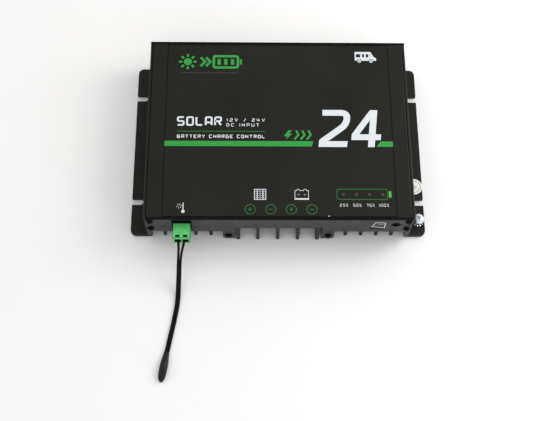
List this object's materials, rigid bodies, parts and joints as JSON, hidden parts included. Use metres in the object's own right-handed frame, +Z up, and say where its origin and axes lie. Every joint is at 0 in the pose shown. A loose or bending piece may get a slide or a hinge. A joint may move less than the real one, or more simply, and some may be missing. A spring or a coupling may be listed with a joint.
{
  "type": "solar charge controller",
  "caption": "Flat finned aluminium case with slotted side flanges, a barrier terminal row, status lamps on the cover and a plug-in temperature sensor lead.",
  "frame": {"origin": "bottom centre of the case, without the sensor plug and lead", "axes": "+X to the right, along the longest side; +Y to the back, away from the terminals; +Z up, out of the cover"},
  "size_m": [0.194, 0.226, 0.0337],
  "materials": {
    "anodised_aluminium": "satin black anodised extrusion",
    "coated_panel": "fine matt black powder coat",
    "label_foil": "matt printed polycarbonate foil",
    "black_plastic": "moulded glass-filled nylon",
    "green_plastic": "moulded green nylon",
    "black_steel": "black oxide",
    "zinc_steel": "bright zinc plate",
    "wire_jacket": "soft black jacket",
    "shrink_sleeve": "satin shrink sleeve",
    "circuit_laminate": "solder resist",
    "ferrite": "matt coated core",
    "copper_wire": "enamelled copper",
    "silicone_pad": "grey silicone",
    "chip_epoxy": "moulded epoxy",
    "fuse_plastic": "translucent amber",
    "capacitor_sleeve": "shrunk sleeve",
    "led_resin": "clear resin",
    "sticker_film": "printed paper"
  },
  "bodies": {
    "case": {"heatsink_base": "anodised_aluminium", "top_cover": "anodised_aluminium", "front_panel": "coated_panel", "rear_panel": "coated_panel", "label_overlay": "label_foil", "terminal_block": "black_plastic", "remote_jack": "black_plastic", "sensor_header": "green_plastic", "circuit_board": "circuit_laminate", "inductor_core": "ferrite", "inductor_winding": "copper_wire", "thermal_pad": "silicone_pad", "transistor_clamp": "zinc_steel", "clamp_screw_left": "zinc_steel", "clamp_screw_right": "zinc_steel", "controller_chip": "chip_epoxy", "blade_fuse": "fuse_plastic", "earth_sticker": "sticker_film", "board_screw_front_left": "zinc_steel", "board_screw_rear_left": "zinc_steel", "front_screw_upper_left": "black_steel", "front_screw_lower_left": "black_steel", "front_screw_ear_left": "black_steel", "rear_screw_upper_left": "black_steel", "rear_screw_lower_left": "black_steel", "board_screw_front_right": "zinc_steel", "board_screw_rear_right": "zinc_steel", "front_screw_upper_right": "black_steel", "front_screw_lower_right": "black_steel", "front_screw_ear_right": "black_steel", "rear_screw_upper_right": "black_steel", "rear_screw_lower_right": "black_steel", "transistor_1": "chip_epoxy", "status_led_1": "led_resin", "transistor_2": "chip_epoxy", "status_led_2": "led_resin", "transistor_3": "chip_epoxy", "status_led_3": "led_resin", "transistor_4": "chip_epoxy", "status_led_4": "led_resin", "capacitor_1": "capacitor_sleeve", "capacitor_2": "capacitor_sleeve", "capacitor_3": "capacitor_sleeve"},
    "plug": {"sensor_plug": "green_plastic", "sensor_wire_left": "wire_jacket", "sensor_wire_right": "wire_jacket", "sensor_probe": "shrink_sleeve"},
    "plug_screw_left": {"plug_screw_left": "zinc_steel"},
    "plug_screw_right": {"plug_screw_right": "zinc_steel"},
    "terminal_clamp_1": {"terminal_clamp_1": "zinc_steel"},
    "terminal_screw_1": {"terminal_screw_1": "zinc_steel"},
    "terminal_clamp_2": {"terminal_clamp_2": "zinc_steel"},
    "terminal_screw_2": {"terminal_screw_2": "zinc_steel"},
    "terminal_clamp_3": {"terminal_clamp_3": "zinc_steel"},
    "terminal_screw_3": {"terminal_screw_3": "zinc_steel"},
    "terminal_clamp_4": {"terminal_clamp_4": "zinc_steel"},
    "terminal_screw_4": {"terminal_screw_4": "zinc_steel"},
    "ground_washers": {"ground_spring_washer": "zinc_steel", "ground_tooth_washer": "zinc_steel"},
    "ground_screw": {"ground_screw": "zinc_steel"}
  },
  "joints": [
    {"name": "plug_pull", "type": "slide", "parent": "case", "child": "plug", "axis": [0, -1, 0], "range_m": [0, 0.012]},
    {"name": "plug_screw_left_turn", "type": "hinge", "parent": "plug", "child": "plug_screw_left", "pos_m": [-0.0643, -0.07125, 0.0174], "axis": [0, 0, -1], "range_deg": [0, 720]},
    {"name": "plug_screw_right_turn", "type": "hinge", "parent": "plug", "child": "plug_screw_right", "pos_m": [-0.0594, -0.07125, 0.0174], "axis": [0, 0, -1], "range_deg": [0, 720]},
    {"name": "terminal_1_lift", "type": "slide", "parent": "case", "child": "terminal_clamp_1", "axis": [0, -1, 0], "range_m": [0, 0.0028]},
    {"name": "terminal_1_turn", "type": "hinge", "parent": "terminal_clamp_1", "child": "terminal_screw_1", "pos_m": [-0.0199, -0.05685, 0.0098], "axis": [0, -1, 0], "range_deg": [0, 1440]},
    {"name": "terminal_2_lift", "type": "slide", "parent": "case", "child": "terminal_clamp_2", "axis": [0, -1, 0], "range_m": [0, 0.0028]},
    {"name": "terminal_2_turn", "type": "hinge", "parent": "terminal_clamp_2", "child": "terminal_screw_2", "pos_m": [-0.0069, -0.05685, 0.0098], "axis": [0, -1, 0], "range_deg": [0, 1440]},
    {"name": "terminal_3_lift", "type": "slide", "parent": "case", "child": "terminal_clamp_3", "axis": [0, -1, 0], "range_m": [0, 0.0028]},
    {"name": "terminal_3_turn", "type": "hinge", "parent": "terminal_clamp_3", "child": "terminal_screw_3", "pos_m": [0.0061, -0.05685, 0.0098], "axis": [0, -1, 0], "range_deg": [0, 1440]},
    {"name": "terminal_4_lift", "type": "slide", "parent": "case", "child": "terminal_clamp_4", "axis": [0, -1, 0], "range_m": [0, 0.0028]},
    {"name": "terminal_4_turn", "type": "hinge", "parent": "terminal_clamp_4", "child": "terminal_screw_4", "pos_m": [0.0191, -0.05685, 0.0098], "axis": [0, -1, 0], "range_deg": [0, 1440]},
    {"name": "ground_lift", "type": "slide", "parent": "case", "child": "ground_washers", "axis": [0, 0, 1], "range_m": [0, 0.0028]},
    {"name": "ground_turn", "type": "hinge", "parent": "ground_washers", "child": "ground_screw", "pos_m": [0.0926, -0.05275, 0.00485], "axis": [0, 0, 1], "range_deg": [0, 1440]}
  ],
  "couplings": [
    {"joint": "terminal_1_turn", "follows": "terminal_1_lift", "rad_per_m": 8976},
    {"joint": "terminal_2_turn", "follows": "terminal_2_lift", "rad_per_m": 8976},
    {"joint": "terminal_3_turn", "follows": "terminal_3_lift", "rad_per_m": 8976},
    {"joint": "terminal_4_turn", "follows": "terminal_4_lift", "rad_per_m": 8976},
    {"joint": "ground_turn", "follows": "ground_lift", "rad_per_m": 8976}
  ]
}
